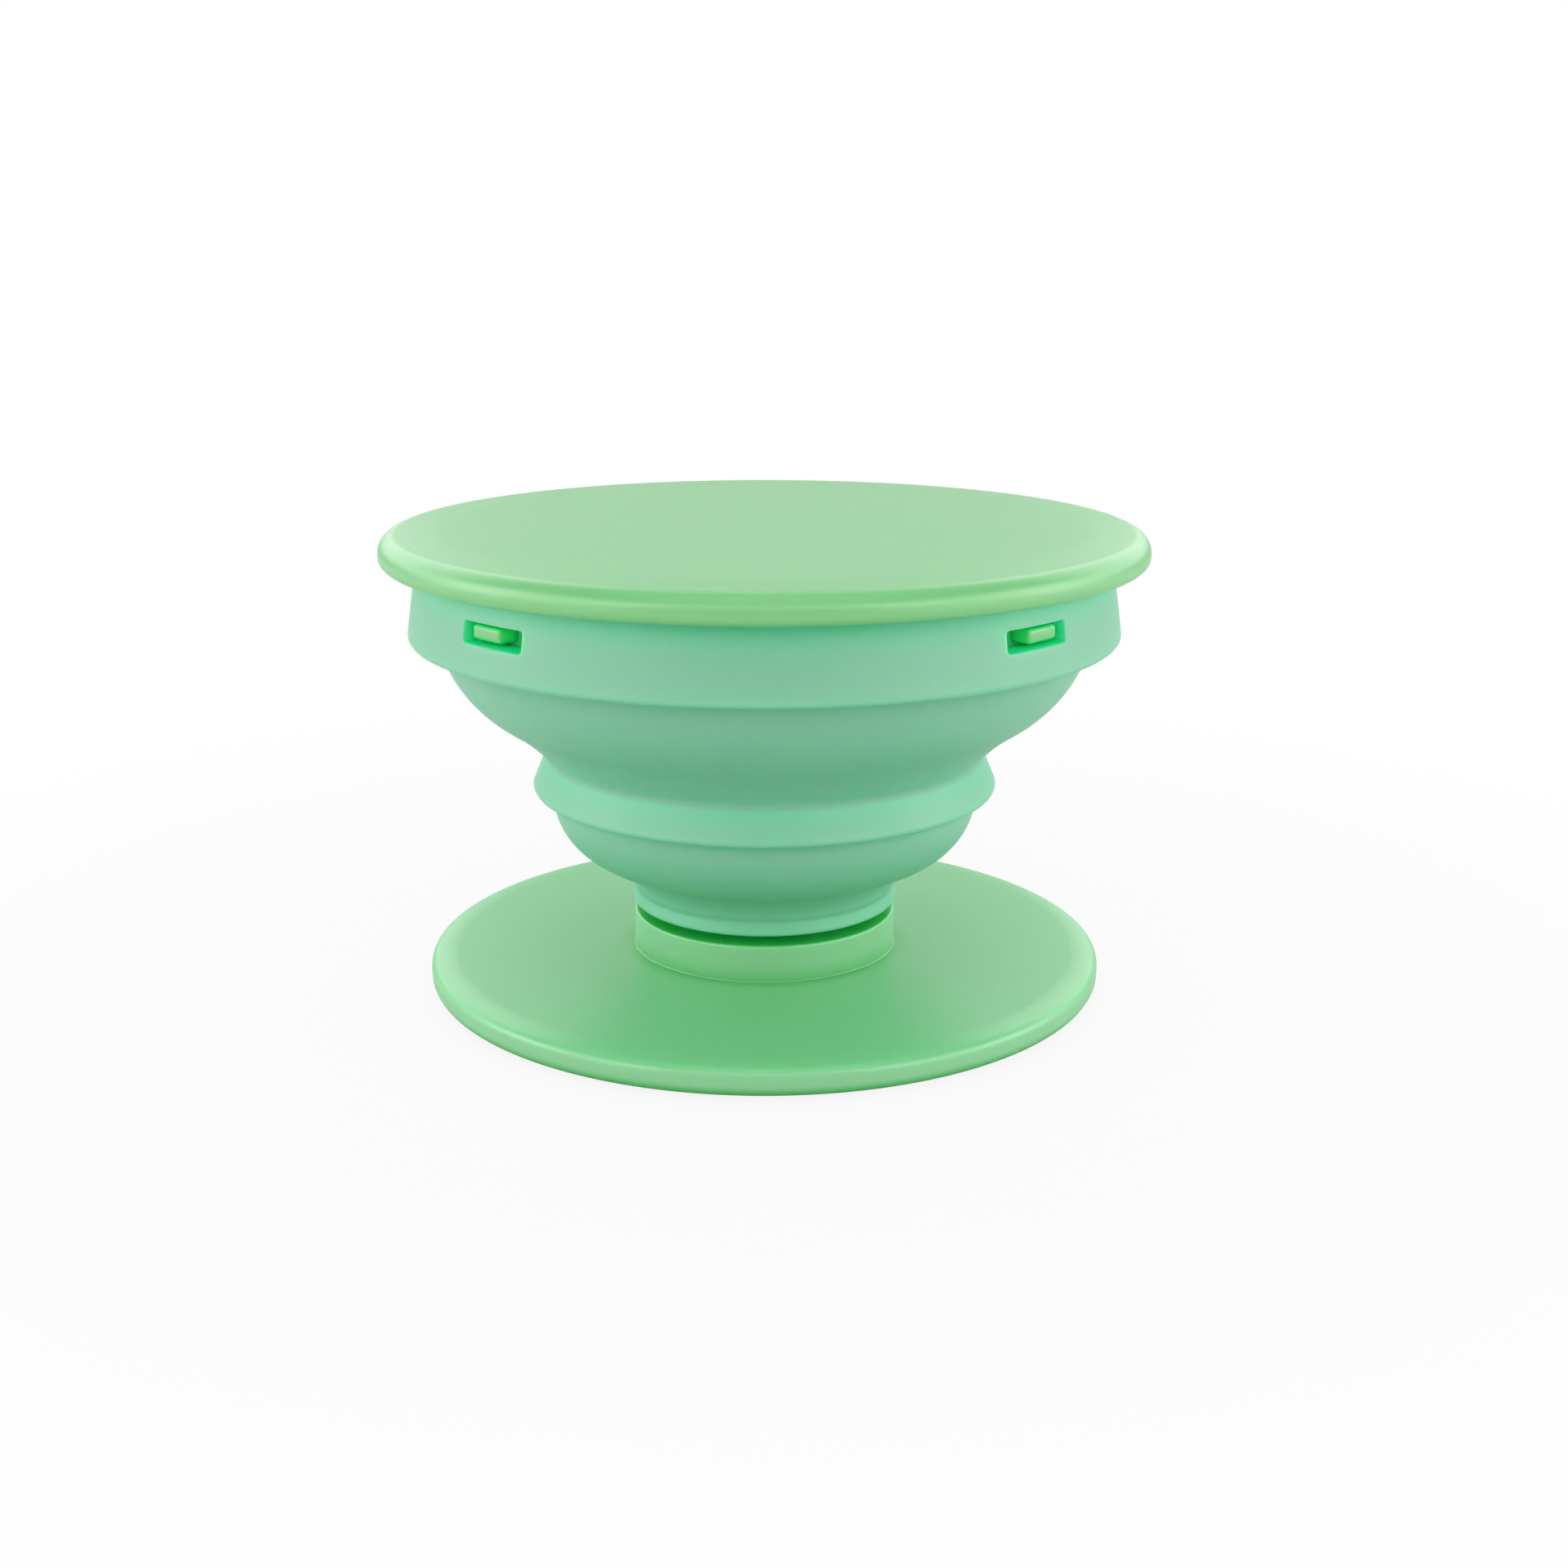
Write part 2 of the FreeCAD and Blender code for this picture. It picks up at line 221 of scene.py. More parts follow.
class PadSettings(PropertyGroup):
    """Sizes and finish of the sticky pad"""

    radius: level("Radius", "Outer radius of the pad", PAD_HIGH.x)
    bottom: level("Bottom", "Height of the sticky face", PAD_LOW.z)
    top: level("Top", "Height of the face that sits in the base", PAD_HIGH.z)
    edge_round: length("Edge rounding", "Rounding of the sticky face's edge", 0.1)
    foam: colour("Foam", "Colour of the tacky foam", 0.72, 0.76, 0.72)
    # painted light: upright walls get this paler colour, standing in for the side light they catch
    wall: colour("Wall", "Colour of the upright walls, a little paler than the faces", 0.74, 0.78, 0.74)
    # painted shade: gaps and corners take this darker grey through an ambient occlusion mask
    depth: colour("Depth", "Colour that the foam takes on in gaps and corners", 0.6, 0.65, 0.6)
    roughness: share("Roughness", "Roughness of the tacky face", 0.5)
    shine: share("Shine", "How strongly the tacky face mirrors light", 0.4)


class StageSettings(PropertyGroup):
    """Floor, light and camera"""

    floor_size: length("Floor size", "Side of the square floor", 1200.0)
    floor_drop: length("Floor drop", "How far the floor lies below the sticky face", 0.02)
    floor_white: share("Floor white", "Share of plain white that the camera sees near the stand", 0.88)
    fade_start: length("Fade start", "Distance where the floor starts to fade to the white room", 30.0)
    fade_end: length("Fade end", "Distance where the floor is as white as the room", 75.0)
    room_light: amount("Room light", "Light of the room from all sides", 0.2)
    room_back: amount("Room light behind", "Light that the room adds from behind the stand", 0.67)
    room_low: share("Room light near the floor", "Share of the room's light that is left near the floor", 0.2)
    lamp_light: amount("Lamp light", "Strength of all lamps together, as a factor", 0.68)
    lamp_distance: length("Lamp distance", "Distance of the lamps from the stand", 350.0)
    lamp_aim: length("Lamp aim", "Height on the stand that the lamps face", 12.0)
    camera_back: length("Camera distance", "Distance of the camera in front of the stand", 108.67)
    camera_height: length("Camera height", "Height of the camera", 40.662)
    camera_tilt: angle("Camera tilt", "How far the camera looks down", 15.4493)
    focal_length: amount("Focal length", "Focal length of the lens, in millimetres", 47.816)
    shift: FloatProperty(name="Shift", description="Sideways shift of the picture", default=0.0125)


class StandSettings(PropertyGroup):
    """All settings of the phone stand"""

    button: PointerProperty(type=ButtonSettings, name="Button")
    accordion: PointerProperty(type=AccordionSettings, name="Accordion")
    base: PointerProperty(type=BaseSettings, name="Base")
    pad: PointerProperty(type=PadSettings, name="Pad")
    stage: PointerProperty(type=StageSettings, name="Stage")
    columns: IntProperty(
        name="Columns", description="Number of columns around each turned piece", default=192, min=48, step=4
    )


# Profiles

ARC_STEP = math.radians(9)  # turn between two points of a rounding
BOW_STEP = 0.16 * MM  # distance between two points of a bow
HOLD = 0.05 * MM  # distance from a rounding to the row that keeps the face beside it flat
ON_AXIS = 0.001 * MM  # a smaller radius is on the axis


def corner(radius, height, rounding=0.0, bulge=0.0):
    """A profile corner, its rounding, and how far the edge after it bows to its right."""
    return Vector((radius, height)), rounding, bulge


def arc_through(start, middle, end, step):
    """Points from start to end on the circle through the middle, without the start."""
    to_middle = middle - start
    to_end = end - start
    cross = 2 * to_middle.cross(to_end)
    centre = start + Vector((
        to_end.y * to_middle.length_squared - to_middle.y * to_end.length_squared,
        to_middle.x * to_end.length_squared - to_end.x * to_middle.length_squared,
    )) / cross
    first = start - centre
    turn = first.angle_signed(middle - centre) + (middle - centre).angle_signed(end - centre)
    count = max(2, math.ceil(abs(turn) / step))
    points = []
    for index in range(1, count + 1):
        points.append(centre + Matrix.Rotation(-turn * index / count, 2) @ first)
    return points


def rounded_corner(before, point, after, rounding):
    """Start, middle and end of the arc that rounds a corner."""
    to_before = (before - point).normalized()
    to_after = (after - point).normalized()
    half = to_before.angle(to_after) / 2
    reach = rounding / math.tan(half)
    stand_off = rounding / math.sin(half) - rounding
    middle = point + (to_before + to_after).normalized() * stand_off
    return point + to_before * reach, middle, point + to_after * reach


def edge_points(start, end, bulge, held_start, held_end):
    """Points along an edge without its ends: a bow, or rows that keep a flat face flat beside a rounding."""
    along = end - start
    if bulge:
        right = Vector((along.y, -along.x)).normalized()
        middle = (start + end) / 2 + right * bulge
        radius = (along.length_squared / 4 + bulge * bulge) / (2 * abs(bulge))
        return arc_through(start, middle, end, BOW_STEP / radius)[:-1]
    if along.length < 4 * HOLD:
        return []
    rows = []
    if held_start:
        rows.append(start + along.normalized() * HOLD)
    if held_end:
        rows.append(end - along.normalized() * HOLD)
    return rows


def profile(corners, closed):
    """All points of a profile with its corners rounded and its edges bowed."""
    count = len(corners)
    arcs = []
    for index, (point, rounding, _) in enumerate(corners):
        if rounding:
            before = corners[index - 1][0]
            after = corners[(index + 1) % count][0]
            arcs.append(rounded_corner(before, point, after, rounding))
        else:
            arcs.append((point, point, point))
    points = []
    for index, (_, rounding, bulge) in enumerate(corners):
        start, middle, end = arcs[index]
        points.append(start)
        if rounding:
            points.extend(arc_through(start, middle, end, ARC_STEP))
        if index + 1 < count or closed:
            after = (index + 1) % count
            points.extend(edge_points(end, arcs[after][0], bulge, rounding > 0, corners[after][1] > 0))
    return points


def row_near(points, radius, height):
    """Number of the profile point nearest to a place."""
    place = Vector((radius, height))
    return min(range(len(points)), key=lambda index: (points[index] - place).length)


# Turned meshes

SHARP_ANGLE = math.radians(40)  # a steeper edge between two faces stays sharp
RIM_ANGLE = math.radians(50)  # a steeper edge beside a window is its rim
WINDOW_COLUMNS = 8  # columns across a window
BEAD_ROUND = 0.15 * MM  # rounding of the snap bead's edges
NECK_ROUND = 0.3 * MM  # hollow between the foot ring and the small bowl


def even_columns(count):
    """Angles evenly round the circle."""
    return [math.tau * index / count for index in range(count)]


def in_four_quarters(first):
    """An angle mirrored about the X and Y axes into all four quarters."""
    return [first, math.pi - first, math.pi + first, math.tau - first]


def join_rows(mesh, lower, upper, closed=True):
    """Faces between two rows of points; a row of one point is the axis."""
    count = max(len(lower), len(upper))
    for index in range(count if closed else count - 1):
        after = (index + 1) % count
        if len(lower) == 1:
            mesh.faces.new((lower[0], upper[after], upper[index]))
        elif len(upper) == 1:
            mesh.faces.new((lower[index], lower[after], upper[0]))
        else:
            mesh.faces.new((lower[index], lower[after], upper[after], upper[index]))


def turn_profile(mesh, points, columns, closed):
    """Turns a profile about Z and returns its rows of points."""
    rows = []
    for point in points:
        if point.x < ON_AXIS:
            rows.append([mesh.verts.new((0, 0, point.y))])
        else:
            places = [(point.x * math.cos(turn), point.x * math.sin(turn), point.y) for turn in columns]
            rows.append([mesh.verts.new(place) for place in places])
    for lower, upper in zip(rows, rows[1:]):
        join_rows(mesh, lower, upper)
    if closed:
        join_rows(mesh, rows[-1], rows[0])
    return rows


def remove_patch(mesh, rows, columns):
    """Takes out the faces between the given rows and columns."""
    doomed = []
    for lower, upper in zip(rows, rows[1:]):
        for here, after in zip(columns, columns[1:]):
            doomed.append(mesh.faces.get((lower[here], lower[after], upper[after], upper[here])))
    bmesh.ops.delete(mesh, geom=doomed, context="FACES_ONLY")


def patch_rim(rows, columns):
    """Points round a patch of rows and columns, in order."""
    rim = [rows[0][column] for column in columns]
    rim += [row[columns[-1]] for row in rows[1:]]
    rim += [rows[-1][column] for column in reversed(columns[:-1])]
    rim += [row[columns[0]] for row in reversed(rows[1:-1])]
    return rim


def round_edges(mesh, edges, rounding, segments):
    """Rounds off edges of a mesh."""
    bmesh.ops.bevel(
        mesh, geom=edges, offset=rounding, segments=segments, profile=0.5, affect="EDGES", clamp_overlap=True
    )


def finish_piece(name, mesh, material):
    """Makes the object of a finished mesh, with smooth faces and sharp edges where they meet steeply."""
    loose = [vert for vert in mesh.verts if not vert.link_faces]
    bmesh.ops.delete(mesh, geom=loose, context="VERTS")
    bmesh.ops.recalc_face_normals(mesh, faces=mesh.faces[:])
    data = bpy.data.meshes.new(name)
    mesh.to_mesh(data)
    mesh.free()
    data.shade_smooth()
    data.set_sharp_from_angle(angle=SHARP_ANGLE)
    data.materials.append(material)
    piece = bpy.data.objects.new(name, data)
    bpy.context.scene.collection.objects.link(piece)
    weighted = piece.modifiers.new("Even shading", "WEIGHTED_NORMAL")
    weighted.keep_sharp = True
    weighted.weight = 60
    return piece


# Finishes

CLOUD_SCALE = 140.0
SPECKLE_SCALE = 900.0
# The wall tilt range sets where the painted wall light fades from upright walls to flat faces
WALL_TILT = 0.1, 0.6  # upright part of the normal, from a wall to a face
# The gap openness range sets where the painted gap shading fades from deep gaps to open faces
GAP_OPENNESS = 0.2, 0.85  # share of open sky, from a deep gap to an open face
GAP_SAMPLES = 8
GLOSS_SPREAD = 0.3, 0.7  # speckle values between which the gloss goes up
BUTTON_SPREAD = 0.3, 1.0, 0.35  # how far red, green and blue light run inside a piece
STEM_SPREAD = 0.25, 1.0, 0.5
BASE_SPREAD = 0.25, 1.0, 0.4


def add_node(tree, kind, place, **sockets):
    """A shader node with some of its inputs set by name."""
    made = tree.nodes.new(kind)
    made.location = place
    for socket, value in sockets.items():
        made.inputs[socket.replace("_", " ")].default_value = value
    return made


def shade_of(tint, factor):
    """A lighter or darker shade of a colour."""
    return [min(1.0, part * factor) for part in tint[:3]] + [1.0]


def mix_colours(tree, place, factor, first, second):
    """A mix of two colours, each one plain or another node's output."""
    made = tree.nodes.new("ShaderNodeMix")
    made.data_type = "RGBA"
    made.location = place
    tree.links.new(factor, made.inputs["Factor"])
    for slot, tint in (("A", first), ("B", second)):
        if isinstance(tint, bpy.types.NodeSocket):
            tree.links.new(tint, made.inputs[slot])
        else:
            made.inputs[slot].default_value = tint
    return made.outputs["Result"]


def mix_shaders(tree, place, factor, first, second):
    """A mix of two shader nodes."""
    made = add_node(tree, "ShaderNodeMixShader", place)
    for value, socket in zip((factor, first.outputs[0], second.outputs[0]), made.inputs):
        tree.links.new(value, socket)
    return made.outputs[0]


def add_math(tree, operation, place, *values):
    """The result of a sum on other nodes' outputs."""
    made = add_node(tree, "ShaderNodeMath", place)
    made.operation = operation
    for value, socket in zip(values, made.inputs):
        tree.links.new(value, socket)
    return made.outputs[0]


def add_range(tree, place, value, limits, results):
    """Takes a value from one range to another."""
    made = add_node(
        tree, "ShaderNodeMapRange", place, From_Min=limits[0], From_Max=limits[1],
        To_Min=results[0], To_Max=results[1],
    )
    tree.links.new(value, made.inputs["Value"])
    return made


def moulded_finish(name, settings, tint, gap_reach, drift, unevenness, grain_size, grain_depth):
    """Moulded material: slow colour drift, painted light that pales the upright walls, painted shade and
    bounce light in gaps, uneven gloss and a fine grain.
    """
    material = bpy.data.materials.new(name)
    material.use_nodes = True
    tree = material.node_tree
    surface = tree.nodes["Principled BSDF"]
    surface.inputs["Specular IOR Level"].default_value = settings.shine
    place = add_node(tree, "ShaderNodeTexCoord", (-1000, 0))
    noise = "ShaderNodeTexNoise"
    clouds = add_node(tree, noise, (-780, 250), Scale=CLOUD_SCALE, Detail=3.0, Roughness=0.5)
    speckle = add_node(tree, noise, (-780, -20), Scale=SPECKLE_SCALE, Detail=2.0, Roughness=0.6)
    grain = add_node(tree, noise, (-780, -300), Scale=1.0 / grain_size, Detail=2.0, Roughness=0.55)
    for texture in (clouds, speckle, grain):
        tree.links.new(place.outputs["Object"], texture.inputs["Vector"])
    darker = shade_of(tint, 1.0 - drift)
    lighter = shade_of(tint, 1.0 + drift)
    shades = mix_colours(tree, (-420, 250), clouds.outputs["Fac"], darker, lighter)
    # painted light: walls, found by the upright part of the normal, are mixed towards the paler wall colour
    lean = add_node(tree, "ShaderNodeSeparateXYZ", (-780, 750))
    tree.links.new(place.outputs["Normal"], lean.inputs[0])
    upright = add_math(tree, "ABSOLUTE", (-600, 750), lean.outputs["Z"])
    walls = add_range(tree, (-420, 750), upright, WALL_TILT, (1.0, 0.0))
    with_painted_wall_light = mix_colours(tree, (-200, 600), walls.outputs["Result"], shades, settings.wall)
    # painted shade and bounce light: gaps, found by ambient occlusion, are mixed towards the gap colour
    openness = add_node(tree, "ShaderNodeAmbientOcclusion", (-780, 500), Distance=gap_reach)
    openness.samples = GAP_SAMPLES
    painted_gap_mask = add_range(tree, (-420, 500), openness.outputs["AO"], GAP_OPENNESS, (1.0, 0.0))
    with_painted_gap_shading = mix_colours(tree, (-200, 350), painted_gap_mask.outputs["Result"], with_painted_wall_light, settings.depth)
    tree.links.new(with_painted_gap_shading, surface.inputs["Base Color"])
    roughness = settings.roughness - unevenness, settings.roughness + unevenness
    gloss = add_range(tree, (-420, -20), speckle.outputs["Fac"], GLOSS_SPREAD, roughness)
    tree.links.new(gloss.outputs["Result"], surface.inputs["Roughness"])
    relief = add_node(tree, "ShaderNodeBump", (-420, -300), Strength=0.5, Distance=grain_depth)
    tree.links.new(grain.outputs["Fac"], relief.inputs["Height"])
    tree.links.new(relief.outputs["Normal"], surface.inputs["Normal"])
    return material


def soften(material, weight, radius, scale):
    """Lets a little light into the material, as coloured plastic does."""
    surface = material.node_tree.nodes["Principled BSDF"]
    surface.inputs["Subsurface Weight"].default_value = weight
    surface.inputs["Subsurface Radius"].default_value = radius
    surface.inputs["Subsurface Scale"].default_value = scale


def satin_plastic(name, settings, spread):
    """Satin moulded plastic of the button and the base."""
    material = moulded_finish(
        name, settings, settings.plastic, gap_reach=1.5 * MM,
        drift=0.008, unevenness=0.012, grain_size=0.2 * MM, grain_depth=0.0006 * MM,
    )
    soften(material, weight=0.7, radius=spread, scale=1.0 * MM)
    return material


def matte_elastomer(name, settings):
    """Fine matte soft moulding of the stem."""
    material = moulded_finish(
        name, settings, settings.elastomer, gap_reach=4.0 * MM,
        drift=0.012, unevenness=0.03, grain_size=0.16 * MM, grain_depth=0.003 * MM,
    )
    soften(material, weight=0.8, radius=STEM_SPREAD, scale=1.6 * MM)
    return material


def tacky_foam(name, settings):
    """Soft tacky foam of the pad, with a coarser grain."""
    return moulded_finish(
        name, settings, settings.foam, gap_reach=1.5 * MM,
        drift=0.03, unevenness=0.05, grain_size=0.3 * MM, grain_depth=0.03 * MM,
    )


# Pieces


class STAND_OT_top_button(Operator):
    """Make the round button with its skirt and four snap tabs"""

    bl_idname = "phone_stand.top_button"
    bl_label = "Top Button"

    def execute(self, context):
        stand = context.scene.phone_stand
        button = stand.button
        disc_bottom = button.disc_top - button.disc_thickness
        skirt_bore = button.skirt_radius - button.skirt_wall
        slot_top = disc_bottom - button.relief_root
        plate = profile([
            corner(0, disc_bottom),
            corner(skirt_bore, disc_bottom),
            corner(skirt_bore, slot_top),
            corner(skirt_bore, button.skirt_bottom),
            corner(button.skirt_radius, button.skirt_bottom),
            corner(button.skirt_radius, slot_top),
            corner(button.skirt_radius, disc_bottom),
            corner(button.disc_radius, disc_bottom, button.bottom_round),
            corner(button.disc_radius, button.disc_top - button.roll_drop, button.top_round),
            corner(button.disc_radius - button.roll_reach, button.disc_top, button.roll_round),
            corner(0, button.disc_top),
        ], closed=False)
        tabs = in_four_quarters(button.tab_angle)
        columns, slots = self.slotted_columns(stand.columns, tabs, button)
        mesh = bmesh.new()
        rows = turn_profile(mesh, plate, columns, closed=False)
        first = row_near(plate, skirt_bore, slot_top)
        last = row_near(plate, button.skirt_radius, slot_top)
        for slot in slots:
            self.cut_slot(mesh, rows[first:last + 1], slot)
        for turn in tabs:
            self.add_tab(mesh, button, turn, stand.accordion.window_level)
        material = satin_plastic("button_plastic_finish", button, BUTTON_SPREAD)
        piece = finish_piece("button_plate", mesh, material)
        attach(piece, "button")
        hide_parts("top_button")
        return {"FINISHED"}

    def slotted_columns(self, count, tabs, button):
        """Column angles with three columns moved to each relief slot, and those columns' numbers."""
        columns = even_columns(count)
        half = button.relief_width / 2 / button.skirt_radius
        offset = button.relief_offset / button.skirt_radius
        slots = []
        for middle in [turn + side * offset for turn in tabs for side in (-1, 1)]:
            near = round(middle / math.tau * count)
            slot = [(near + step) % count for step in (-1, 0, 1)]
            for step, column in zip((-1, 0, 1), slot):
                columns[column] = middle + step * half
            slots.append(slot)
        return columns, slots

    def cut_slot(self, mesh, rows, slot):
        """Opens one relief slot through the skirt and closes its cut faces."""
        remove_patch(mesh, rows, slot)
        for column in (slot[0], slot[-1]):
            mesh.faces.new([row[column] for row in rows])
        for here, after in zip(slot, slot[1:]):
            mesh.faces.new((rows[0][here], rows[0][after], rows[-1][after], rows[-1][here]))

    def add_tab(self, mesh, button, turn, height):
        """Adds one snap tab at a window's height, sunk into the skirt, with soft outer edges."""
        inner = button.skirt_radius - button.skirt_wall / 2
        reach = button.tab_radius - inner
        tab = bmesh.new()
        bmesh.ops.create_cube(tab, size=1.0)
        bmesh.ops.scale(tab, vec=(reach, button.tab_width, button.tab_height), verts=tab.verts)
        nose = [edge for edge in tab.edges if all(vert.co.x > 0 for vert in edge.verts)]
        sides = [edge for edge in tab.edges if edge.verts[0].co.x * edge.verts[1].co.x < 0]
        round_edges(tab, nose + sides, button.tab_round, segments=4)
        bmesh.ops.translate(tab, vec=(inner + reach / 2, 0, height), verts=tab.verts)
        bmesh.ops.rotate(tab, cent=(0, 0, 0), matrix=Matrix.Rotation(turn, 3, "Z"), verts=tab.verts)
        copied = {vert: mesh.verts.new(vert.co) for vert in tab.verts}
        for face in tab.faces:
            mesh.faces.new([copied[vert] for vert in face.verts])
        tab.free()


class STAND_OT_accordion(Operator):
    """Make the soft folding stem with its rings, bowls, plug and four windows"""

    bl_idname = "phone_stand.accordion"
    bl_label = "Accordion"

    def execute(self, context):
        stand = context.scene.phone_stand
        soft = stand.accordion
        outside = self.plug(soft) + self.outside(soft)
        section = profile(outside + self.inside(soft), closed=True)
        columns, windows = self.window_columns(stand.columns, soft)
        mesh = bmesh.new()
        rows = turn_profile(mesh, section, columns, closed=True)
        ring_bore = soft.ring_radius - soft.ring_taper - soft.ring_wall
        low = soft.window_level - soft.window_height / 2
        high = soft.window_level + soft.window_height / 2
        outer = rows[row_near(section, soft.ring_radius, low):row_near(section, soft.ring_radius, high) + 1]
        inner = rows[row_near(section, ring_bore, high):row_near(section, ring_bore, low) + 1]
        for window in windows:
            self.cut_window(mesh, outer, inner[::-1], window, soft)
        bmesh.ops.recalc_face_normals(mesh, faces=mesh.faces[:])
        self.soften_rims(mesh, soft)
        material = matte_elastomer("accordion_elastomer_finish", soft)
        piece = finish_piece("accordion_stem", mesh, material)
        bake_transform(piece)
        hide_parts("accordion")
        return {"FINISHED"}

    def levels(self, soft):
        """Heights of the foot's top, the middle ring, the valley above it and the upper ring."""
        upper_ring = soft.ring_top - soft.ring_height
        valley = upper_ring - soft.upper_bowl_height
        middle_ring = valley - soft.middle_height
        return middle_ring - soft.lower_bowl_height, middle_ring, valley, upper_ring

    def radii(self, soft):
        """Radii of the foot, small bowl's edge, middle valley and upper bowl's edge."""
        upper_bowl = soft.ring_radius - soft.ring_overhang
        middle_valley = upper_bowl - soft.upper_bowl_reach
        lower_bowl = middle_valley + soft.middle_flare - soft.middle_overhang
        return lower_bowl - soft.lower_bowl_reach, lower_bowl, middle_valley, upper_bowl

    def plug(self, soft):
        """Corners of the snap plug and the foot ring, from the plug's bore outwards and up."""
        foot_top = self.levels(soft)[0]
        foot_radius = self.radii(soft)[0]
        bead_top = soft.plug_bottom + soft.plug_height
        foot_bottom = foot_top - soft.foot_height
        return [
            corner(soft.plug_bore, soft.plug_bottom),
            corner(soft.plug_bead, soft.plug_bottom, BEAD_ROUND),
            corner(soft.plug_bead, bead_top, BEAD_ROUND),
            corner(soft.plug_neck, bead_top),
            corner(soft.plug_neck, foot_bottom),
            corner(foot_radius, foot_bottom, soft.foot_round),
        ]

    def window_rows(self, soft):
        """Heights that get a row of points at and around the windows, from the lowest up."""
        half = soft.window_height / 2
        hold = soft.window_round * 2
        return [soft.window_level + step for step in (-half - hold, -half, half, half + hold)]

    def outside(self, soft):
        """Corners of the two bowls and two rings, going up the outside."""
        foot_top, middle_ring, valley, upper_ring = self.levels(soft)
        foot, lower_bowl, middle_valley, upper_bowl = self.radii(soft)
        lean = soft.ring_taper / soft.ring_height
        lower_turn = foot_top + soft.lower_turn_height
        upper_turn = valley + soft.upper_turn_height
        wall = []
        for height in self.window_rows(soft):
            wall.append(corner(soft.ring_radius - lean * (height - upper_ring), height))
        return [
            corner(foot - soft.foot_flare, foot_top, NECK_ROUND, bulge=-soft.lower_dip),
            corner(foot + soft.lower_turn_reach, lower_turn, bulge=soft.lower_bulge),
            corner(lower_bowl, middle_ring),
            corner(middle_valley + soft.middle_flare, middle_ring, soft.ring_round),
            corner(middle_valley, valley, soft.valley_round, bulge=-soft.upper_dip),
            corner(middle_valley + soft.upper_turn_reach, upper_turn, bulge=soft.upper_bulge),
            corner(upper_bowl, upper_ring),
            corner(soft.ring_radius, upper_ring, soft.ring_round),
            *wall,
            corner(soft.ring_radius - soft.ring_taper, soft.ring_top),
        ]

    def inside(self, soft):
        """Corners of the hollow, going down the inside one web wall away from the outside."""
        foot_top, middle_ring, valley, upper_ring = self.levels(soft)
        foot, lower_bowl, middle_valley, upper_bowl = self.radii(soft)
        slant = soft.web_wall * math.sqrt(0.5)
        upper_turn = valley + soft.upper_turn_height + slant
        lower_turn = foot_top + soft.lower_turn_height + slant
        ring_bore = soft.ring_radius - soft.ring_taper - soft.ring_wall
        ring_floor = upper_ring + soft.ring_floor
        wall = [corner(ring_bore, height) for height in reversed(self.window_rows(soft))]
        return [
            corner(ring_bore, soft.ring_top),
            *wall,
            corner(ring_bore, ring_floor),
            corner(upper_bowl - soft.web_wall, ring_floor, bulge=-soft.upper_bulge),
            corner(middle_valley + soft.upper_turn_reach - slant, upper_turn, bulge=soft.upper_dip),
            corner(middle_valley - soft.web_wall, valley + slant / 2),
            corner(lower_bowl - soft.web_wall, middle_ring + slant / 2, bulge=-soft.lower_bulge),
            corner(foot + soft.lower_turn_reach - slant, lower_turn, bulge=soft.lower_dip),
            corner(foot - soft.web_wall, foot_top + slant),
            corner(soft.plug_bore, foot_top + slant),
        ]

    def window_columns(self, count, soft):
        """Column angles with columns on the sides of each window, and those columns' numbers."""
        half = soft.window_width / 2 / soft.ring_radius
        hold = soft.window_round * 2 / soft.ring_radius
        within = WINDOW_COLUMNS
        between = count // 4 - within - 2
        columns = []
        windows = []
        middles = in_four_quarters(soft.window_angle)
        for middle, following in zip(middles, middles[1:] + [middles[0] + math.tau]):
            columns.append(middle - half - hold)
            windows.append([len(columns) + step for step in range(within + 1)])
            columns.extend(middle - half + 2 * half * step / within for step in range(within + 1))
            start = middle + half + hold
            gap = following - half - hold - start
            columns.extend(start + gap * step / between for step in range(between))
        return columns, windows

    def cut_window(self, mesh, outer, inner, window, soft):
        """Opens one window through the ring's wall, closes its reveals and rounds its corners."""
        remove_patch(mesh, outer, window)
        remove_patch(mesh, inner, window)
        outer_rim = patch_rim(outer, window)
        inner_rim = patch_rim(inner, window)
        join_rows(mesh, outer_rim, inner_rim)
        corners = [(row, column) for row in (0, -1) for column in (window[0], window[-1])]
        edges = [mesh.edges.get((outer[row][column], inner[row][column])) for row, column in corners]
        round_edges(mesh, edges, soft.window_round, segments=4)

    def soften_rims(self, mesh, soft):
        """Rounds off the outer rims of all windows."""
        outside = soft.ring_radius - soft.ring_taper - soft.ring_wall / 2
        reach = soft.window_height / 2 + soft.window_round / 2
        rims = []
        for edge in mesh.edges:
            middle = (edge.verts[0].co + edge.verts[1].co) / 2
            beside = abs(middle.z - soft.window_level) < reach and middle.xy.length > outside
            if beside and edge.calc_face_angle(0.0) > RIM_ANGLE:
                rims.append(edge)
        round_edges(mesh, rims, soft.rim_round, segments=3)


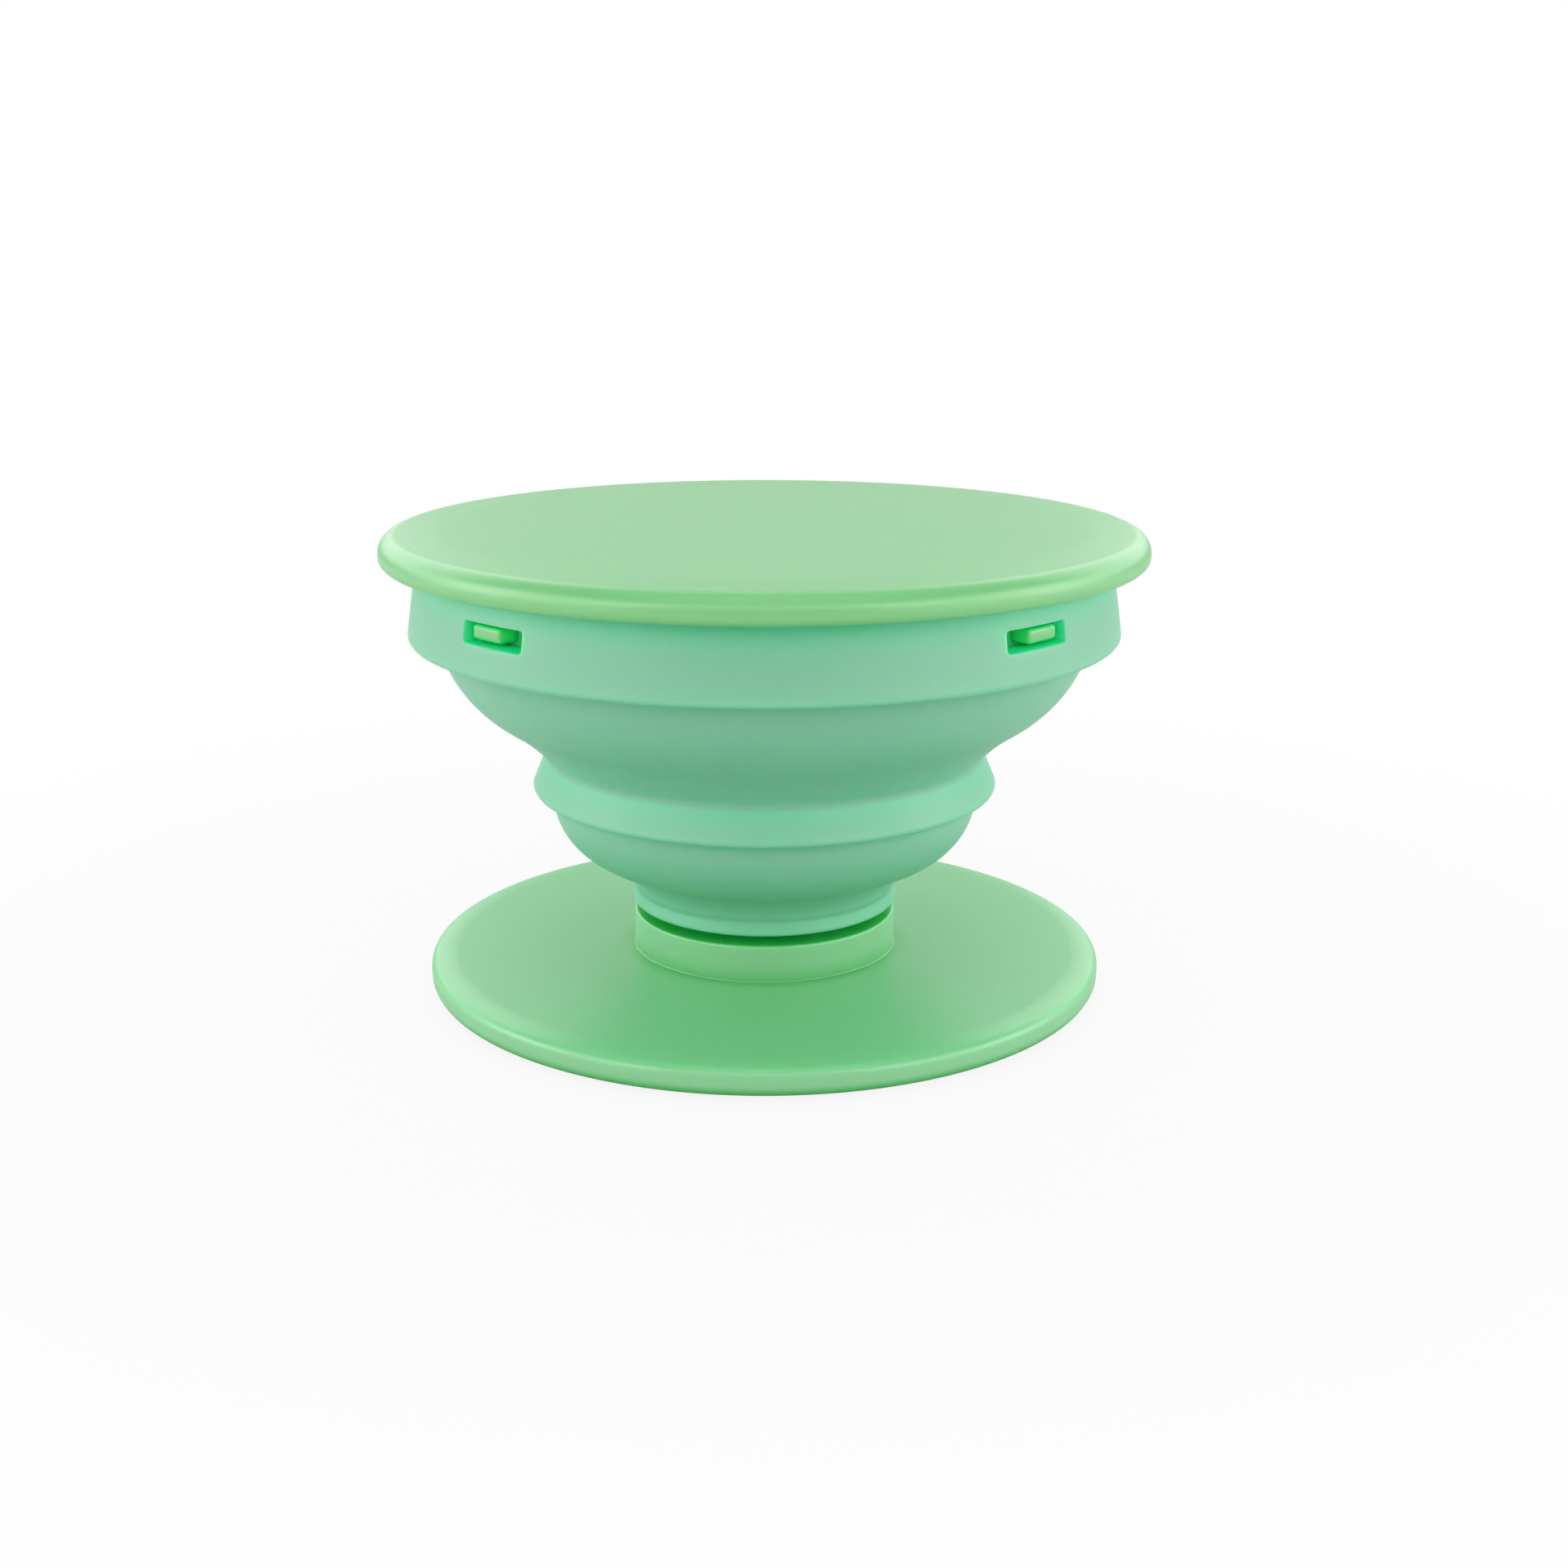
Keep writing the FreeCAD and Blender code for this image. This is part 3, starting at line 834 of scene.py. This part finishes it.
class STAND_OT_base_platform(Operator):
    """Make the round platform with its collar and the recess for the sticky pad"""

    bl_idname = "phone_stand.base_platform"
    bl_label = "Base Platform"

    def execute(self, context):
        stand = context.scene.phone_stand
        base = stand.base
        section = profile([
            corner(0, base.recess_ceiling),
            corner(base.recess_radius, base.recess_ceiling),
            corner(base.recess_radius, base.bottom),
            corner(base.radius, base.bottom, base.bottom_round),
            corner(base.radius, base.top - base.roll_drop, base.top_round),
            corner(base.radius - base.roll_reach, base.top, base.roll_round),
            corner(base.collar_radius, base.top, base.root_round),
            corner(base.collar_radius, base.collar_top, base.collar_round),
            corner(base.lip_radius, base.collar_top, base.lip_round),
            corner(base.lip_radius, base.collar_top - base.lip_height),
            corner(base.bore_radius, base.collar_top - base.lip_height),
            corner(base.bore_radius, base.top),
            corner(0, base.top),
        ], closed=False)
        mesh = bmesh.new()
        turn_profile(mesh, section, even_columns(stand.columns), closed=False)
        material = satin_plastic("base_plastic_finish", base, BASE_SPREAD)
        piece = finish_piece("base_plate", mesh, material)
        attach(piece, "base")
        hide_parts("base_platform")
        return {"FINISHED"}


class STAND_OT_adhesive_pad(Operator):
    """Make the round sticky pad under the base"""

    bl_idname = "phone_stand.adhesive_pad"
    bl_label = "Adhesive Pad"

    def execute(self, context):
        stand = context.scene.phone_stand
        pad = stand.pad
        section = profile([
            corner(0, pad.bottom),
            corner(pad.radius, pad.bottom, pad.edge_round),
            corner(pad.radius, pad.top),
            corner(0, pad.top),
        ], closed=False)
        mesh = bmesh.new()
        turn_profile(mesh, section, even_columns(stand.columns), closed=False)
        material = tacky_foam("pad_foam_finish", pad)
        piece = finish_piece("sticky_pad", mesh, material)
        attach(piece, "base")
        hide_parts("adhesive_pad")
        return {"FINISHED"}


# Stage

WHITE = 1.0, 1.0, 1.0, 1.0
PAPER = 0.7, 0.7, 0.7, 1.0
ROOM_FADE = -0.06, 0.13  # upward part of a direction, where the room's light fades out towards the floor

# Each lamp's name, turn from the front and rise in degrees, power in watts, width and height in millimetres;
# a lamp that isn't straight in front or behind stands on both sides
LAMPS = (
    ("front_lamp", 0, 30, 0.53, 500, 180),
    ("key_lamp", 66, 18, 0.72, 420, 220),
    ("side_lamp", 94, 14, 0.34, 260, 190),
    ("back_lamp", 142, 26, 0.4, 300, 240),
    ("top_lamp", 180, 58, 0.16, 300, 200),
    ("overhead_lamp", 0, 74, 0.34, 320, 260),
    ("glint_lamp", 43, 20, 0.04, 40, 40),
)


class STAND_OT_stage(Operator):
    """Make the white floor and room, the soft lamps and the camera"""

    bl_idname = "phone_stand.stage"
    bl_label = "Stage"

    def execute(self, context):
        stage = context.scene.phone_stand.stage
        self.make_floor(stage)
        self.make_room(context.scene, stage)
        for name, turn, rise, power, width, height in LAMPS:
            for side in (-1, 1) if 0 < turn < 180 else (1,):
                self.make_lamp(name, stage, side * turn, rise, power, (width, height))
        self.make_camera(context.scene, stage)
        context.scene.view_settings.view_transform = "Standard"
        return {"FINISHED"}

    def make_floor(self, stage):
        """The square floor under the stand."""
        mesh = bmesh.new()
        bmesh.ops.create_grid(mesh, x_segments=8, y_segments=8, size=stage.floor_size / 2)
        data = bpy.data.meshes.new("floor")
        mesh.to_mesh(data)
        mesh.free()
        floor = bpy.data.objects.new("floor", data)
        floor.location.z = -stage.floor_drop
        bpy.context.scene.collection.objects.link(floor)
        data.materials.append(self.floor_finish(stage))

    def floor_finish(self, stage):
        """White paper that keeps a soft shadow near the stand and fades to plain white further out."""
        material = bpy.data.materials.new("white_floor")
        material.use_nodes = True
        tree = material.node_tree
        tree.nodes.remove(tree.nodes["Principled BSDF"])
        paper = add_node(tree, "ShaderNodeBsdfDiffuse", (-200, 0), Color=PAPER)
        glow = add_node(tree, "ShaderNodeEmission", (-200, -150), Color=WHITE, Strength=1.0)
        place = add_node(tree, "ShaderNodeTexCoord", (-1000, 100))
        distance = add_node(tree, "ShaderNodeVectorMath", (-800, 100))
        distance.operation = "LENGTH"
        tree.links.new(place.outputs["Object"], distance.inputs[0])
        fade = stage.fade_start, stage.fade_end
        whiteness = add_range(tree, (-600, 200), distance.outputs["Value"], fade, (stage.floor_white, 1.0))
        whiteness.interpolation_type = "SMOOTHSTEP"
        path = add_node(tree, "ShaderNodeLightPath", (-600, 500))
        camera_ray = path.outputs["Is Camera Ray"]
        seen = add_math(tree, "MULTIPLY", (-400, 300), camera_ray, whiteness.outputs["Result"])
        both = mix_shaders(tree, (0, 100), seen, paper, glow)
        tree.links.new(both, tree.nodes["Material Output"].inputs["Surface"])
        return material

    def make_room(self, scene, stage):
        """Plain white to the camera; its light is stronger from behind and weaker near the floor."""
        world = bpy.data.worlds.new("white_room")
        world.use_nodes = True
        scene.world = world
        tree = world.node_tree
        seen = tree.nodes["Background"]
        seen.inputs["Color"].default_value = WHITE
        seen.inputs["Strength"].default_value = 1.0
        lit = add_node(tree, "ShaderNodeBackground", (-200, 100), Color=WHITE)
        place = add_node(tree, "ShaderNodeTexCoord", (-1000, 0))
        parts = add_node(tree, "ShaderNodeSeparateXYZ", (-800, 0))
        tree.links.new(place.outputs["Generated"], parts.inputs[0])
        strengths = stage.room_light, stage.room_light + stage.room_back
        strength = add_range(tree, (-600, 0), parts.outputs["Y"], (0.0, 1.0), strengths)
        above = add_range(tree, (-600, -250), parts.outputs["Z"], ROOM_FADE, (stage.room_low, 1.0))
        above.interpolation_type = "SMOOTHSTEP"
        spread = add_math(tree, "MULTIPLY", (-400, 0), strength.outputs["Result"], above.outputs["Result"])
        tree.links.new(spread, lit.inputs["Strength"])
        path = add_node(tree, "ShaderNodeLightPath", (-200, 400))
        both = mix_shaders(tree, (0, 200), path.outputs["Is Camera Ray"], lit, seen)
        tree.links.new(both, tree.nodes["World Output"].inputs["Surface"])

    def make_lamp(self, name, stage, turn, rise, power, size):
        """A soft rectangular lamp that faces the stand, with its turn and rise in degrees."""
        data = bpy.data.lights.new(name, "AREA")
        data.shape = "RECTANGLE"
        data.size = size[0] * MM
        data.size_y = size[1] * MM
        data.energy = power * stage.lamp_light
        lamp = bpy.data.objects.new(name, data)
        lamp.visible_camera = False
        away = Matrix.Rotation(math.radians(turn), 3, "Z") @ Vector((
            0, -math.cos(math.radians(rise)), math.sin(math.radians(rise))
        ))
        lamp.location = Vector((0, 0, stage.lamp_aim)) + away * stage.lamp_distance
        lamp.rotation_euler = away.to_track_quat("Z", "Y").to_euler()
        bpy.context.scene.collection.objects.link(lamp)

    def make_camera(self, scene, stage):
        """The camera in front of the stand, looking down on it."""
        data = bpy.data.cameras.new("camera")
        data.lens = stage.focal_length
        data.sensor_width = 36.0
        data.clip_start = 1.0 * MM
        data.clip_end = 10.0
        data.shift_x = stage.shift
        camera = bpy.data.objects.new("camera", data)
        camera.location = (0, -stage.camera_back, stage.camera_height)
        camera.rotation_euler = (math.pi / 2 - stage.camera_tilt, 0, 0)
        scene.collection.objects.link(camera)
        scene.camera = camera


class STAND_PT_panel(Panel):
    """Buttons and settings of the phone stand"""

    bl_idname = "STAND_PT_panel"
    bl_label = "Phone Stand"
    bl_space_type = "VIEW_3D"
    bl_region_type = "UI"
    bl_category = "Phone Stand"

    def draw(self, context):
        stand = context.scene.phone_stand
        groups = (
            (STAND_OT_top_button, stand.button),
            (STAND_OT_accordion, stand.accordion),
            (STAND_OT_base_platform, stand.base),
            (STAND_OT_adhesive_pad, stand.pad),
            (STAND_OT_stage, stand.stage),
        )
        for maker, settings in groups:
            box = self.layout.box()
            box.operator(maker.bl_idname)
            for key in settings.bl_rna.properties.keys():
                if key not in ("rna_type", "name"):
                    box.prop(settings, key)


CLASSES = (
    ButtonSettings,
    AccordionSettings,
    BaseSettings,
    PadSettings,
    StageSettings,
    StandSettings,
    STAND_OT_top_button,
    STAND_OT_accordion,
    STAND_OT_base_platform,
    STAND_OT_adhesive_pad,
    STAND_OT_stage,
    STAND_PT_panel,
)


def register():
    """Adds the stand's classes and settings to Blender."""
    for kind in CLASSES:
        bpy.utils.register_class(kind)
    bpy.types.Scene.phone_stand = PointerProperty(type=StandSettings)


def unregister():
    """Takes the stand's classes and settings out again."""
    del bpy.types.Scene.phone_stand
    for kind in reversed(CLASSES):
        bpy.utils.unregister_class(kind)


def main():
    """Builds the stand and its stage."""
    register()
    bpy.ops.phone_stand.adhesive_pad()
    bpy.ops.phone_stand.base_platform()
    bpy.ops.phone_stand.accordion()
    bpy.ops.phone_stand.top_button()
    bpy.ops.phone_stand.stage()


if __name__ == "__main__":
    main()
